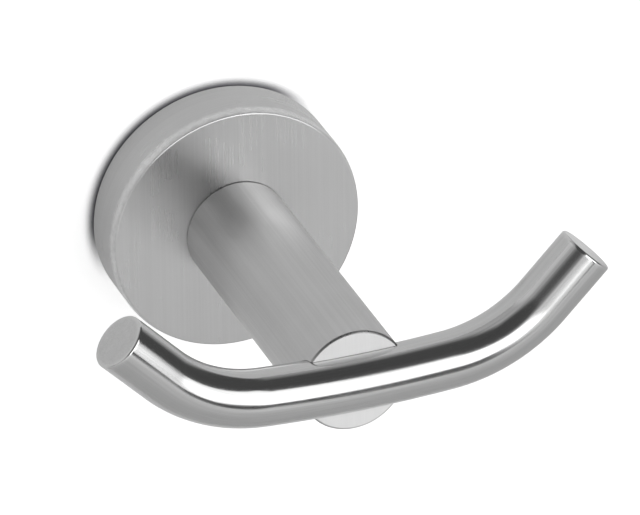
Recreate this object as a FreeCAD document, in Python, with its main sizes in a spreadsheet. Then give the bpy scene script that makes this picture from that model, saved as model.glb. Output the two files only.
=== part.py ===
import FreeCAD, Part
import math
import os
import re
import Sketcher

# Double robe hook: a round wall rose, a round post standing on it, and a bent round bar that lies
# in a saddle across the post's free end. One long bolt from inside the rose clamps the three.
# The rose slips over a fixing plate on the wall and is held there by a grub screw.
#
# Millimetres. The wall is the plane Y = 0, the hook stands out from it along -Y, +Z is up.
# The origin is the centre of the rose on the wall. "Depth" is the distance out from the wall.

SIZES = (
    ("rose_dia", "55", "outside diameter of the rose"),
    ("rose_depth", "12.5", "how far the rose stands off the wall"),
    ("rose_side_wall", "2.2", "thickness of the rose's side wall"),
    ("rose_face_wall", "2", "thickness of the rose's face"),
    ("rose_front_round", "1.2", "rounding of the rose's front edge"),
    ("rose_rim_break", "0.3", "broken edge of the rim at the wall"),
    ("post_dia", "22.5", "diameter of the post"),
    ("post_end_depth", "80", "depth of the post's flat free end"),
    ("post_edge_break", "0.35", "broken edge of the post's free end"),
    ("bar_dia", "12", "diameter of the hook bar"),
    ("bar_proud", "0.25", "how far the bar's axis lies in front of the post's free end"),
    ("saddle_gap", "0.05", "clearance between the bar and its saddle"),
    ("saddle_overrun", "2", "how far the saddle's cut runs past the post"),
    ("middle_radius", "300", "radius of the bar's gently curved middle"),
    ("middle_half_span", "20", "half the length of that middle, measured along X"),
    ("bend_radius", "32", "radius of the bend at each side, to the bar's axis"),
    ("arm_rise", "46", "angle of each arm above the horizontal, in degrees"),
    ("arm_straight", "13.5", "straight length of each arm"),
    ("bar_end_round", "0.5", "rounding of the bar's end edges"),
    ("bolt_dia", "5", "diameter of the clamp bolt"),
    ("bolt_gap", "0.25", "clearance round the bolt in the post and the rose"),
    ("thread_gap", "0.03", "clearance drawn between a screw and its thread"),
    ("thread_depth", "6.5", "depth of the threaded hole in the bar"),
    ("bolt_tip_gap", "1.5", "free depth beyond the bolt's tip"),
    ("drill_point", "1.4", "depth of the drill's cone at the end of that hole"),
    ("head_dia", "8.5", "diameter of the bolt's head"),
    ("head_depth", "5", "height of the bolt's head"),
    ("head_socket", "4", "width across flats of the bolt's socket"),
    ("head_socket_depth", "2.5", "depth of the bolt's socket"),
    ("bolt_edge_break", "0.4", "broken edges of the bolt"),
    ("washer_dia", "9.2", "outside diameter of the lock washer"),
    ("washer_gap", "0.1", "clearance round the bolt in the lock washer"),
    ("washer_depth", "1.2", "thickness of the lock washer"),
    ("washer_split", "0.8", "width of the split in the lock washer"),
    ("pin_dia", "3", "diameter of the locating pin"),
    ("pin_gap", "0.03", "clearance round the locating pin"),
    ("pin_in_post", "4", "length of the pin inside the post"),
    ("pin_edge_break", "0.3", "broken edges of the pin"),
    ("plate_front_gap", "2.5", "free depth between the wall plate and the rose's face"),
    ("plate_rim_gap", "0.4", "clearance between the plate's lip and the rose"),
    ("plate_lip", "1.2", "thickness of the plate's lip"),
    ("plate_bevel", "2.5", "depth of the 45 degree bevel behind the lip"),
    ("plate_bore", "15", "opening in the plate for the bolt's head"),
    ("plate_edge_break", "0.3", "broken edge of the plate's lip"),
    ("screw_spacing", "33", "distance between the two wall screws"),
    ("screw_hole", "4.5", "diameter of each wall screw's hole"),
    ("screw_sink", "9", "diameter of each countersink"),
    ("grub_dia", "4", "diameter of the grub screw"),
    ("grub_length", "4", "length of the grub screw with its point"),
    ("grub_forward", "0.7", "how far the grub screw's axis lies in front of the bevel's foot"),
    ("grub_seat_gap", "0.03", "clearance between the grub screw's point and the bevel"),
    ("grub_socket", "2", "width across flats of the grub screw's socket"),
    ("grub_socket_depth", "1.4", "depth of the grub screw's socket"),
)
SIZE_NAMES = [name for name, number, meaning in SIZES]

# Places that several pieces share, as formulas in the sizes above.
BAR_AXIS = "(post_end_depth + bar_proud)"
THREAD_END = "(%s - bar_dia / 2 + thread_depth)" % BAR_AXIS
BOLT_TIP = "(%s - bolt_tip_gap)" % THREAD_END
ROSE_INNER_FACE = "(rose_depth - rose_face_wall)"
ROSE_INNER_RADIUS = "(rose_dia / 2 - rose_side_wall)"
BOLT_HOLE_RADIUS = "(bolt_dia / 2 + bolt_gap)"
BOLT_SEAT = "(%s - washer_depth)" % ROSE_INNER_FACE
HEAD_BACK = "(%s - head_depth)" % BOLT_SEAT
PIN_END = "(rose_depth + pin_in_post)"
PIN_HEIGHT = "((post_dia / 2 + %s) / 2)" % BOLT_HOLE_RADIUS
PIN_HOLE = "(pin_dia + 2 * pin_gap)"
PLATE_DEPTH = "(%s - plate_front_gap)" % ROSE_INNER_FACE
LIP_BACK = "(%s - plate_lip)" % PLATE_DEPTH
LIP_RADIUS = "(%s - plate_rim_gap)" % ROSE_INNER_RADIUS
WAIST_DEPTH = "(%s - plate_bevel)" % LIP_BACK
WAIST_RADIUS = "(%s - plate_bevel)" % LIP_RADIUS
GRUB_DEPTH = "(%s + grub_forward)" % WAIST_DEPTH
GRUB_POINT = "(%s + grub_forward + grub_seat_gap * sqrt(2))" % WAIST_RADIUS

# How a sketch counts: its origin and its two axes, and the points of a line, an arc or a circle.
ORIGIN, ACROSS, UPRIGHT = -1, -1, -2
START, END, MIDDLE = 1, 2, 3

SAME_PLACE = 1e-4
FULL_TURN = 360
HEXAGON_SIDES = 6
SINK_ANGLE = 90


def in_sheet(formula):
    """The formula with each size's name pointing at its cell in the sheet."""
    def cell(found):
        word = found.group()
        return "sizes." + word if word in SIZE_NAMES else word
    return re.sub(r"[a-z_]+", cell, formula)


def number(item, formula):
    """What the formula comes to with the sizes as they are."""
    return float(item.evalExpression(in_sheet(formula)))


def make_sheet(doc):
    """The sheet of driving dimensions: name, number and meaning in each row."""
    sheet = doc.addObject("Spreadsheet::Sheet", "sizes")
    for row, (name, value, meaning) in enumerate(SIZES, start=1):
        sheet.set("A%d" % row, name)
        sheet.set("B%d" % row, value)
        sheet.set("C%d" % row, meaning)
        sheet.setAlias("B%d" % row, name)
    doc.recompute()


def new_body(doc, label):
    """An empty body whose label is the name of the piece."""
    body = doc.addObject("PartDesign::Body", label)
    body.Label = label
    return body


def own_plane(body, role):
    """One of the body's own three planes."""
    return next(item for item in body.Origin.OriginFeatures if item.Role == role)


def flat_sketch(body, name, role, forward=None):
    """A sketch on one of the body's planes, or in front of it by the distance that forward gives."""
    sketch = body.newObject("Sketcher::SketchObject", name)
    sketch.AttachmentSupport = [(own_plane(body, role), "")]
    sketch.MapMode = "FlatFace"
    if forward:
        sketch.setExpression(".AttachmentOffset.Base.z", in_sheet(forward))
    return sketch


def tie(sketch, kind, *ends):
    """One relation between the points and lines of a sketch."""
    sketch.addConstraint(Sketcher.Constraint(kind, *ends))


def hold(sketch, kind, formula, *ends):
    """One dimension of a sketch, bound to the sheet."""
    index = sketch.addConstraint(Sketcher.Constraint(kind, *ends, number(sketch, formula)))
    sketch.setExpression("Constraints[%d]" % index, in_sheet(formula))


def hold_point(sketch, item, point, depth, height):
    """Places a point: its depth runs against the sketch's first axis, its height along the second."""
    if depth == "0":
        tie(sketch, "PointOnObject", item, point, UPRIGHT)
    else:
        hold(sketch, "DistanceX", depth, item, point, ORIGIN, START)
    if height == "0":
        tie(sketch, "PointOnObject", item, point, ACROSS)
    else:
        hold(sketch, "DistanceY", height, ORIGIN, START, item, point)


def closed_lines(sketch, corners):
    """Straight lines from corner to corner, joined end to end."""
    lines = []
    for start, end in zip(corners, corners[1:] + corners[:1]):
        lines.append(sketch.addGeometry(Part.LineSegment(start, end)))
    for index, line in enumerate(lines):
        tie(sketch, "Coincident", lines[index - 1], END, line, START)
    return lines


def turn(body, name, kind, corners):
    """Revolves an outline about the hook's axis. Each of its corners is a depth and a radius."""
    sketch = flat_sketch(body, name + "_outline", "YZ_Plane")
    places = []
    for depth, radius in corners:
        places.append(FreeCAD.Vector(-number(sketch, depth), number(sketch, radius), 0))
    for line, (depth, radius) in zip(closed_lines(sketch, places), corners):
        hold_point(sketch, line, START, depth, radius)
    feature = body.newObject(kind, name)
    feature.Profile = sketch
    feature.ReferenceAxis = (sketch, ["H_Axis"])
    feature.Angle = FULL_TURN
    return feature


def add_circle(sketch, x, y, diameter):
    """One circle near its place, with its diameter bound to the sheet."""
    radius = number(sketch, diameter) / 2
    circle = Part.Circle(FreeCAD.Vector(x, y, 0), FreeCAD.Vector(0, 0, 1), radius)
    item = sketch.addGeometry(circle)
    hold(sketch, "Diameter", diameter, item)
    return item


def round_sketch(body, name, role, depth, height, diameter, forward=None):
    """A sketch that holds one circle."""
    sketch = flat_sketch(body, name, role, forward)
    item = add_circle(sketch, -number(sketch, depth), number(sketch, height), diameter)
    hold_point(sketch, item, MIDDLE, depth, height)
    return sketch


def hexagon_sketch(body, name, flats, forward):
    """A sketch that holds a hexagon of the given width across flats, square to the hook's axis."""
    sketch = flat_sketch(body, name, "XZ_Plane", forward)
    corner_radius = "%s / sqrt(3)" % flats
    radius = number(sketch, corner_radius)
    up = FreeCAD.Vector(0, 0, 1)
    guide = sketch.addGeometry(Part.Circle(FreeCAD.Vector(0, 0, 0), up, radius), True)
    tie(sketch, "Coincident", guide, MIDDLE, ORIGIN, START)
    hold(sketch, "Radius", corner_radius, guide)
    corners = []
    for step in range(HEXAGON_SIDES):
        swing = FreeCAD.Rotation(up, FULL_TURN * step / HEXAGON_SIDES)
        corners.append(swing.multVec(FreeCAD.Vector(radius, 0, 0)))
    sides = closed_lines(sketch, corners)
    for side in sides:
        tie(sketch, "PointOnObject", side, START, guide)
    for side in sides[1:]:
        tie(sketch, "Equal", sides[0], side)
    tie(sketch, "PointOnObject", sides[0], START, ACROSS)
    return sketch


def cut_through(body, name, sketch):
    """Cuts a sketch's outline out of the body, from the sketch against its normal."""
    pocket = body.newObject("PartDesign::Pocket", name)
    pocket.Profile = sketch
    pocket.Type = "ThroughAll"
    return pocket


def ring_edges(shape, depth, radius):
    """The names of the round edges about the hook's axis at a depth and a radius."""
    names = []
    for index, edge in enumerate(shape.Edges, start=1):
        curve = edge.Curve
        if not isinstance(curve, Part.Circle):
            continue
        if abs(-curve.Center.y - depth) < SAME_PLACE and abs(curve.Radius - radius) < SAME_PLACE:
            names.append("Edge%d" % index)
    return names


def round_edges(body, name, size, rings):
    """Rounds the edges that lie at the given depths and radii."""
    base, edges = find_rings(body, name, rings)
    feature = body.newObject("PartDesign::Fillet", name)
    feature.Base = (base, edges)
    feature.setExpression("Radius", in_sheet(size))


def break_edges(body, name, size, rings):
    """Takes a narrow 45 degree bevel off the edges that lie at the given depths and radii."""
    base, edges = find_rings(body, name, rings)
    feature = body.newObject("PartDesign::Chamfer", name)
    feature.Base = (base, edges)
    feature.setExpression("Size", in_sheet(size))


def find_rings(body, name, rings):
    """The body's form so far and the names of its edges at the given depths and radii."""
    body.Document.recompute()
    base = body.Tip
    edges = []
    for depth, radius in rings:
        edges += ring_edges(base.Shape, number(base, depth), number(base, radius))
    if len(edges) < len(rings):
        raise RuntimeError("%s found %d of its %d edges" % (name, len(edges), len(rings)))
    return base, edges


def make_rose(doc):
    """Round cover: a cup, open at the wall, with a rounded front edge."""
    body = new_body(doc, "rose")
    turn(body, "rose_cup", "PartDesign::Revolution", (
        ("0", ROSE_INNER_RADIUS),
        ("0", "rose_dia / 2"),
        ("rose_depth", "rose_dia / 2"),
        ("rose_depth", BOLT_HOLE_RADIUS),
        (ROSE_INNER_FACE, BOLT_HOLE_RADIUS),
        (ROSE_INNER_FACE, ROSE_INNER_RADIUS),
    ))
    round_edges(body, "rose_front_edge", "rose_front_round", [("rose_depth", "rose_dia / 2")])
    break_edges(body, "rose_rim", "rose_rim_break", [("0", "rose_dia / 2")])
    pin_place = round_sketch(body, "rose_pin_place", "XZ_Plane", "0", PIN_HEIGHT, PIN_HOLE, "rose_depth")
    cut_through(body, "rose_pin_hole", pin_place)
    grub_place = flat_sketch(body, "rose_grub_place", "XY_Plane")
    hole = add_circle(grub_place, 0, -number(grub_place, GRUB_DEPTH), "grub_dia + 2 * thread_gap")
    tie(grub_place, "PointOnObject", hole, MIDDLE, UPRIGHT)
    hold(grub_place, "DistanceY", GRUB_DEPTH, hole, MIDDLE, ORIGIN, START)
    cut_through(body, "rose_grub_hole", grub_place)
    return body


def arc_between(sketch, centre, start, sweep):
    """An arc from start about centre, turning left by sweep degrees, and the point where it ends."""
    up = FreeCAD.Vector(0, 0, 1)
    halfway = centre + FreeCAD.Rotation(up, sweep / 2).multVec(start - centre)
    end = centre + FreeCAD.Rotation(up, sweep).multVec(start - centre)
    return sketch.addGeometry(Part.Arc(start, halfway, end)), end


def middle_arc(body, name, reach):
    """A sketch of half the bar's gently curved middle, from X = 0 outwards, as far as reach."""
    sketch = flat_sketch(body, name, "XZ_Plane", BAR_AXIS)
    centre = FreeCAD.Vector(0, number(sketch, "middle_radius"), 0)
    sweep = number(sketch, "asin(%s / middle_radius)" % reach)
    arc, end = arc_between(sketch, centre, FreeCAD.Vector(0, 0, 0), sweep)
    tie(sketch, "Coincident", arc, START, ORIGIN, START)
    tie(sketch, "PointOnObject", arc, MIDDLE, UPRIGHT)
    hold(sketch, "Radius", "middle_radius", arc)
    hold(sketch, "DistanceX", reach, ORIGIN, START, arc, END)
    return sketch, arc, end, sweep


def half_bar_line(body):
    """Half of the bar's axis: its middle, then the bend and the straight arm."""
    sketch, middle, bend_start, sweep = middle_arc(body, "bar_half_line", "middle_half_span")
    up = FreeCAD.Vector(0, 0, 1)
    rise = number(sketch, "arm_rise")
    inward = FreeCAD.Rotation(up, sweep).multVec(FreeCAD.Vector(0, 1, 0))
    bend_centre = bend_start + inward * number(sketch, "bend_radius")
    bend, arm_start = arc_between(sketch, bend_centre, bend_start, rise - sweep)
    along = FreeCAD.Rotation(up, rise).multVec(FreeCAD.Vector(1, 0, 0))
    arm_end = arm_start + along * number(sketch, "arm_straight")
    arm = sketch.addGeometry(Part.LineSegment(arm_start, arm_end))
    tie(sketch, "Tangent", middle, END, bend, START)
    tie(sketch, "Tangent", bend, END, arm, START)
    hold(sketch, "Radius", "bend_radius", bend)
    hold(sketch, "Distance", "arm_straight", arm)
    angle = sketch.addConstraint(Sketcher.Constraint("Angle", arm, math.radians(rise)))
    sketch.setExpression("Constraints[%d]" % angle, in_sheet("arm_rise") + " * 1 deg")
    return sketch


def both_ways(body, name, kind, profile, line):
    """Carries a round profile along a line out to one side, and the same to the other side."""
    feature = body.newObject(kind, name)
    feature.Profile = profile
    feature.Spine = (line, ["Edge%d" % (index + 1) for index in range(len(line.Geometry))])
    mirror = body.newObject("PartDesign::Mirrored", name + "_other_side")
    mirror.Originals = [feature]
    mirror.MirrorPlane = (own_plane(body, "YZ_Plane"), [""])
    body.Tip = mirror


def make_post(doc):
    """Round post, bored through for the bolt, with a saddle across its free end that follows the bar."""
    body = new_body(doc, "post")
    turn(body, "post_bar", "PartDesign::Revolution", (
        ("rose_depth", BOLT_HOLE_RADIUS),
        ("rose_depth", "post_dia / 2"),
        ("post_end_depth", "post_dia / 2"),
        ("post_end_depth", BOLT_HOLE_RADIUS),
    ))
    break_edges(body, "post_free_edge", "post_edge_break", [("post_end_depth", "post_dia / 2")])
    pin_place = round_sketch(body, "post_pin_place", "XZ_Plane", "0", PIN_HEIGHT, PIN_HOLE,
                             PIN_END + " + pin_gap")
    cut_through(body, "post_pin_hole", pin_place)
    profile = round_sketch(body, "saddle_round", "YZ_Plane", BAR_AXIS, "0", "bar_dia + 2 * saddle_gap")
    line = middle_arc(body, "saddle_line", "(post_dia / 2 + saddle_overrun)")[0]
    both_ways(body, "saddle", "PartDesign::SubtractivePipe", profile, line)
    return body


def make_hook_bar(doc):
    """Round bar bent up at both sides, with rounded end edges and a threaded blind hole in its back."""
    body = new_body(doc, "hook_bar")
    profile = round_sketch(body, "bar_round", "YZ_Plane", BAR_AXIS, "0", "bar_dia")
    both_ways(body, "bar", "PartDesign::AdditivePipe", profile, half_bar_line(body))
    doc.recompute()
    whole = body.Tip
    edges = whole.Shape.Edges
    order = sorted(range(len(edges)), key=lambda index: edges[index].CenterOfMass.x)
    ends = body.newObject("PartDesign::Fillet", "bar_end_edges")
    ends.Base = (whole, ["Edge%d" % (order[0] + 1), "Edge%d" % (order[-1] + 1)])
    ends.setExpression("Radius", in_sheet("bar_end_round"))
    thread_radius = "bolt_dia / 2 + thread_gap"
    turn(body, "bar_threaded_hole", "PartDesign::Groove", (
        (BAR_AXIS + " - bar_dia", "0"),
        (BAR_AXIS + " - bar_dia", thread_radius),
        (THREAD_END, thread_radius),
        (THREAD_END + " + drill_point", "0"),
    ))
    return body


def make_clamp_bolt(doc):
    """Long socket-head bolt, head inside the rose, threaded into the back of the hook bar."""
    body = new_body(doc, "clamp_bolt")
    turn(body, "bolt_blank", "PartDesign::Revolution", (
        (HEAD_BACK, "0"),
        (HEAD_BACK, "head_dia / 2"),
        (BOLT_SEAT, "head_dia / 2"),
        (BOLT_SEAT, "bolt_dia / 2"),
        (BOLT_TIP, "bolt_dia / 2"),
        (BOLT_TIP, "0"),
    ))
    break_edges(body, "bolt_edges", "bolt_edge_break",
                [(HEAD_BACK, "head_dia / 2"), (BOLT_TIP, "bolt_dia / 2")])
    flats = hexagon_sketch(body, "bolt_socket_flats", "head_socket", HEAD_BACK + " + head_socket_depth")
    cut_through(body, "bolt_socket", flats)
    return body


def make_lock_washer(doc):
    """Spring washer, pressed flat, with its split at the side."""
    body = new_body(doc, "lock_washer")
    washer_bore_radius = "bolt_dia / 2 + washer_gap"
    turn(body, "washer_ring", "PartDesign::Revolution", (
        (BOLT_SEAT, washer_bore_radius),
        (BOLT_SEAT, "washer_dia / 2"),
        (ROSE_INNER_FACE, "washer_dia / 2"),
        (ROSE_INNER_FACE, washer_bore_radius),
    ))
    split = flat_sketch(body, "washer_split_place", "XZ_Plane", "rose_depth")
    reach = number(split, "washer_dia")
    half = number(split, "washer_split / 2")
    corners = [FreeCAD.Vector(x, z, 0) for x, z in ((0, -half), (reach, -half), (reach, half), (0, half))]
    near, outer, far, inner = closed_lines(split, corners)
    tie(split, "Horizontal", near)
    tie(split, "Vertical", outer)
    tie(split, "Horizontal", far)
    tie(split, "Vertical", inner)
    tie(split, "Symmetric", inner, START, inner, END, ORIGIN, START)
    hold(split, "Distance", "washer_split", inner)
    hold(split, "Distance", "washer_dia", near)
    cut_through(body, "washer_split_cut", split)
    return body


def make_locating_pin(doc):
    """Plain pin above the bolt, half in the rose's face and half in the post."""
    body = new_body(doc, "locating_pin")
    turn(body, "pin_rod", "PartDesign::Revolution", (
        (ROSE_INNER_FACE, "0"),
        (ROSE_INNER_FACE, "pin_dia / 2"),
        (PIN_END, "pin_dia / 2"),
        (PIN_END, "0"),
    ))
    break_edges(body, "pin_edges", "pin_edge_break",
                [(ROSE_INNER_FACE, "pin_dia / 2"), (PIN_END, "pin_dia / 2")])
    body.setExpression(".Placement.Base.z", in_sheet(PIN_HEIGHT))
    return body


def make_wall_plate(doc):
    """Fixing plate: a ring with a lip and an undercut bevel, and two countersunk holes."""
    body = new_body(doc, "wall_plate")
    turn(body, "plate_ring", "PartDesign::Revolution", (
        ("0", "plate_bore / 2"),
        ("0", WAIST_RADIUS),
        (WAIST_DEPTH, WAIST_RADIUS),
        (LIP_BACK, LIP_RADIUS),
        (PLATE_DEPTH, LIP_RADIUS),
        (PLATE_DEPTH, "plate_bore / 2"),
    ))
    break_edges(body, "plate_edges", "plate_edge_break",
                [(PLATE_DEPTH, LIP_RADIUS), (PLATE_DEPTH, "plate_bore / 2")])
    places = flat_sketch(body, "plate_screw_places", "XZ_Plane", PLATE_DEPTH)
    half_spacing = number(places, "screw_spacing / 2")
    left = add_circle(places, -half_spacing, 0, "screw_hole")
    right = add_circle(places, half_spacing, 0, "screw_hole")
    for hole in (left, right):
        tie(places, "PointOnObject", hole, MIDDLE, ACROSS)
    hold(places, "DistanceX", "screw_spacing / 2", left, MIDDLE, ORIGIN, START)
    hold(places, "DistanceX", "screw_spacing / 2", ORIGIN, START, right, MIDDLE)
    doc.recompute()
    holes = body.newObject("PartDesign::Hole", "plate_screw_holes")
    holes.Profile = places
    holes.DepthType = "ThroughAll"
    holes.setExpression("Diameter", in_sheet("screw_hole"))
    holes.HoleCutType = "Countersink"
    holes.HoleCutCustomValues = True
    holes.setExpression("HoleCutDiameter", in_sheet("screw_sink"))
    holes.HoleCutCountersinkAngle = SINK_ANGLE
    return body


def make_grub_screw(doc):
    """Set screw with a 90 degree point, standing in the underside of the rose against the bevel."""
    body = new_body(doc, "grub_screw")
    turn(body, "grub_blank", "PartDesign::Revolution", (
        ("0", "0"),
        ("grub_dia / 2", "grub_dia / 2"),
        ("grub_length", "grub_dia / 2"),
        ("grub_length", "0"),
    ))
    flats = hexagon_sketch(body, "grub_socket_flats", "grub_socket", "grub_length - grub_socket_depth")
    socket = cut_through(body, "grub_socket_cut", flats)
    socket.Reversed = True
    body.Placement.Rotation = FreeCAD.Rotation(FreeCAD.Vector(1, 0, 0), FULL_TURN / 4)
    body.setExpression(".Placement.Base.y", in_sheet("-" + GRUB_DEPTH))
    body.setExpression(".Placement.Base.z", in_sheet("-" + GRUB_POINT))
    return body


def check_document(doc, bodies):
    """Stops if any object failed or any piece is empty or broken."""
    for item in doc.Objects:
        if "Invalid" in item.State or "Error" in item.State:
            raise RuntimeError("%s failed: %s" % (item.Label, item.State))
    for body in bodies:
        if body.Shape.isNull() or not body.Shape.isValid():
            raise RuntimeError("%s has no valid shape" % body.Label)


def main():
    doc = FreeCAD.newDocument("double_robe_hook")
    make_sheet(doc)
    makers = (make_rose, make_post, make_hook_bar, make_clamp_bolt, make_lock_washer,
              make_locating_pin, make_wall_plate, make_grub_screw)
    bodies = [make(doc) for make in makers]
    doc.recompute()
    check_document(doc, bodies)
    os.makedirs("parts", exist_ok=True)
    for body in bodies:
        body.Shape.exportStep("parts/%s.step" % body.Label)
        print("%s: %d solid, %.1f mm3" % (body.Label, len(body.Shape.Solids), body.Shape.Volume))


main()
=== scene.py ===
from math import asin, atan2, cos, hypot, pi, radians, sin, sqrt

import bpy
from mathutils import Matrix, Vector


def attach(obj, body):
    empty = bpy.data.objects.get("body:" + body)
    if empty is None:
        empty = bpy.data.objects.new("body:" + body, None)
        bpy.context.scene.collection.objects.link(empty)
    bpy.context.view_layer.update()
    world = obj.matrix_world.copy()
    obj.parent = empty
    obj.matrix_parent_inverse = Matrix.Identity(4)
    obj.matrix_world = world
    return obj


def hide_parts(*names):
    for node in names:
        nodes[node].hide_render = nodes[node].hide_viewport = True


# Double robe hook: a round wall rose, a round post and a bent bar with two upturned arms, all in
# satin stainless steel. Metres, in the frame of the solids: the wall is Y = 0, the hook stands out
# along -Y, +Z is up. The origin is the centre of the rose on the wall.
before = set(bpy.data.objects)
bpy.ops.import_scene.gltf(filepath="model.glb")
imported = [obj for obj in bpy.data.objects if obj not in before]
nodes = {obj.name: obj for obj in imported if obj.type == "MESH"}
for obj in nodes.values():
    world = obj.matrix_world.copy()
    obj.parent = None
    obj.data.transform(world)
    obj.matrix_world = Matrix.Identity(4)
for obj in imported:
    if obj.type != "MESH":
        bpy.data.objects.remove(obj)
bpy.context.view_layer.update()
scene = bpy.context.scene
scene.view_settings.view_transform = "Standard"


# Camera: a long lens, a little to the left of the hook and above it, as in the photograph. It
# aims a little to the right of the rose and below it, so that both arms are in the picture.
photo_width = 640
sensor_width = 36
focal_length_in_pixels = 7125
camera_azimuth = radians(-20.78)
camera_elevation = radians(29.23)
camera_roll = radians(-0.54)
camera_distance = 1.4991
aim_right = 0.02175
aim_up = -0.01145

bpy.ops.object.camera_add()
camera = bpy.context.object
camera.name = "photo_camera"
swing = Matrix.Rotation(camera_azimuth, 4, "Z")
tip = Matrix.Rotation(pi / 2 - camera_elevation, 4, "X")
roll = Matrix.Rotation(camera_roll, 4, "Z")
camera.matrix_world = swing @ tip @ roll @ Matrix.Translation((aim_right, aim_up, camera_distance))
camera.data.sensor_width = sensor_width
camera.data.lens = focal_length_in_pixels / photo_width * sensor_width
scene.camera = camera


# Studio: a white board that the hook hangs on, and a pale floor below it. The board carries a painted
# shadow, a dark line along the upper left of the rose's rim, where the two meet, and is open behind
# the rose. Seen from behind the board is clear, and so is the floor from below.
board_left, board_right = -0.34, 0.105
board_bottom, board_top = -0.26, 0.195
board_gap = 0.0002
board_white = (0.8, 0.8, 0.8, 1)
# The colour of the painted shadow along the upper left of the rose's rim.
board_painted_shadow = (0.145, 0.145, 0.16, 1)
lens_glow = 0.8
reflected_glow = 0.19
board_roughness = 0.9
board_opening = 0.0262
shadow_line_reach = 0.0029
shadow_line_rays = 16
open_half = 0.5
shadow_line_side = (-0.53, 0.0, 0.848)
shadow_line_fades, shadow_line_full = 0.0, 0.55
floor_size = 6
floor_paint = (0.74, 0.74, 0.74, 1)
# The floor's painted light: its glow near the wall and far from it, and where it changes.
glow_near, glow_far = 0.27, 0.52
near_floor, far_floor = -0.2, -0.75
floor_roughness = 0.8


def new_material(name):
    """An empty material and its node tree."""
    material = bpy.data.materials.new(name)
    material.use_nodes = True
    material.node_tree.nodes.clear()
    return material, material.node_tree


def plug(tree, socket, value):
    """Gives an input another node's output, or else a plain value."""
    if isinstance(value, bpy.types.NodeSocket):
        tree.links.new(value, socket)
    else:
        socket.default_value = value


def add_math(tree, operation, first, second=0.0):
    """A Math node of two inputs."""
    node = tree.nodes.new("ShaderNodeMath")
    node.operation = operation
    plug(tree, node.inputs[0], first)
    plug(tree, node.inputs[1], second)
    return node.outputs[0]


def add_vector(tree, operation, first, second=(0, 0, 0)):
    """A Vector Math node of two inputs: its vector and its value."""
    node = tree.nodes.new("ShaderNodeVectorMath")
    node.operation = operation
    plug(tree, node.inputs[0], first)
    plug(tree, node.inputs[1], second)
    return node.outputs


def add_range(tree, value, low, high, to_low, to_high):
    """A value that goes smoothly from one number to another while the input goes from low to high."""
    node = tree.nodes.new("ShaderNodeMapRange")
    node.interpolation_type = "SMOOTHSTEP"
    for name, number in (("Value", value), ("From Min", low), ("From Max", high),
                         ("To Min", to_low), ("To Max", to_high)):
        plug(tree, node.inputs[name], number)
    return node.outputs["Result"]


def add_blend(tree, share, first, second):
    """A colour between two colours."""
    node = tree.nodes.new("ShaderNodeMix")
    node.data_type = "RGBA"
    colours = [socket for socket in node.inputs if socket.type == "RGBA"]
    plug(tree, node.inputs["Factor"], share)
    plug(tree, colours[0], first)
    plug(tree, colours[1], second)
    return next(socket for socket in node.outputs if socket.type == "RGBA")


def add_place(tree):
    """The place on the piece, in metres."""
    return tree.nodes.new("ShaderNodeTexCoord").outputs["Object"]


def split(tree, place):
    """The X, Y and Z of a place."""
    node = tree.nodes.new("ShaderNodeSeparateXYZ")
    plug(tree, node.inputs[0], place)
    return node.outputs


def add_hypot(tree, first, second):
    """The length of the diagonal over two sides."""
    first_square = add_math(tree, "MULTIPLY", first, first)
    second_square = add_math(tree, "MULTIPLY", second, second)
    return add_math(tree, "SQRT", add_math(tree, "ADD", first_square, second_square))


def add_principled(tree):
    """The material's own shader, joined to its output."""
    shader = tree.nodes.new("ShaderNodeBsdfPrincipled")
    output = tree.nodes.new("ShaderNodeOutputMaterial")
    tree.links.new(shader.outputs[0], output.inputs["Surface"])
    return shader, output


def seen_glow(tree, to_lens, in_reflections):
    """A glow that the lens sees and one that shows in reflections. Neither lights a dull surface."""
    path = tree.nodes.new("ShaderNodeLightPath").outputs
    reflected = add_math(tree, "MAXIMUM", path["Is Glossy Ray"], path["Is Transmission Ray"])
    direct = add_math(tree, "MULTIPLY", path["Is Camera Ray"], to_lens)
    return add_math(tree, "MAXIMUM", direct, add_math(tree, "MULTIPLY", reflected, in_reflections))


def clear_where(tree, shader, output, share):
    """Makes the surface see-through where the share is 1, so that the hook shows from behind it."""
    open_air = tree.nodes.new("ShaderNodeBsdfTransparent")
    either_side = tree.nodes.new("ShaderNodeMixShader")
    plug(tree, either_side.inputs["Fac"], share)
    tree.links.new(shader.outputs[0], either_side.inputs[1])
    tree.links.new(open_air.outputs[0], either_side.inputs[2])
    tree.links.new(either_side.outputs[0], output.inputs["Surface"])


def place_in_mesh(name):
    """Names the new primitive and puts its place and turn into its mesh."""
    piece = bpy.context.object
    piece.name = name
    bpy.ops.object.transform_apply()
    return piece


def add_panel(name, width, height, middle, turn=(0, 0, 0)):
    """A flat panel of a width and a height about its middle."""
    bpy.ops.object.select_all(action="DESELECT")
    bpy.ops.mesh.primitive_plane_add(size=1, location=middle, rotation=turn)
    bpy.context.object.scale = (width, height, 1)
    return place_in_mesh(name)


board_middle = ((board_left + board_right) / 2, board_gap, (board_bottom + board_top) / 2)
board = add_panel("wall_board", board_right - board_left, board_top - board_bottom, board_middle,
                  (pi / 2, 0, 0))
board_paint, tree = new_material("board_paint")
shader, output = add_principled(tree)
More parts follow.
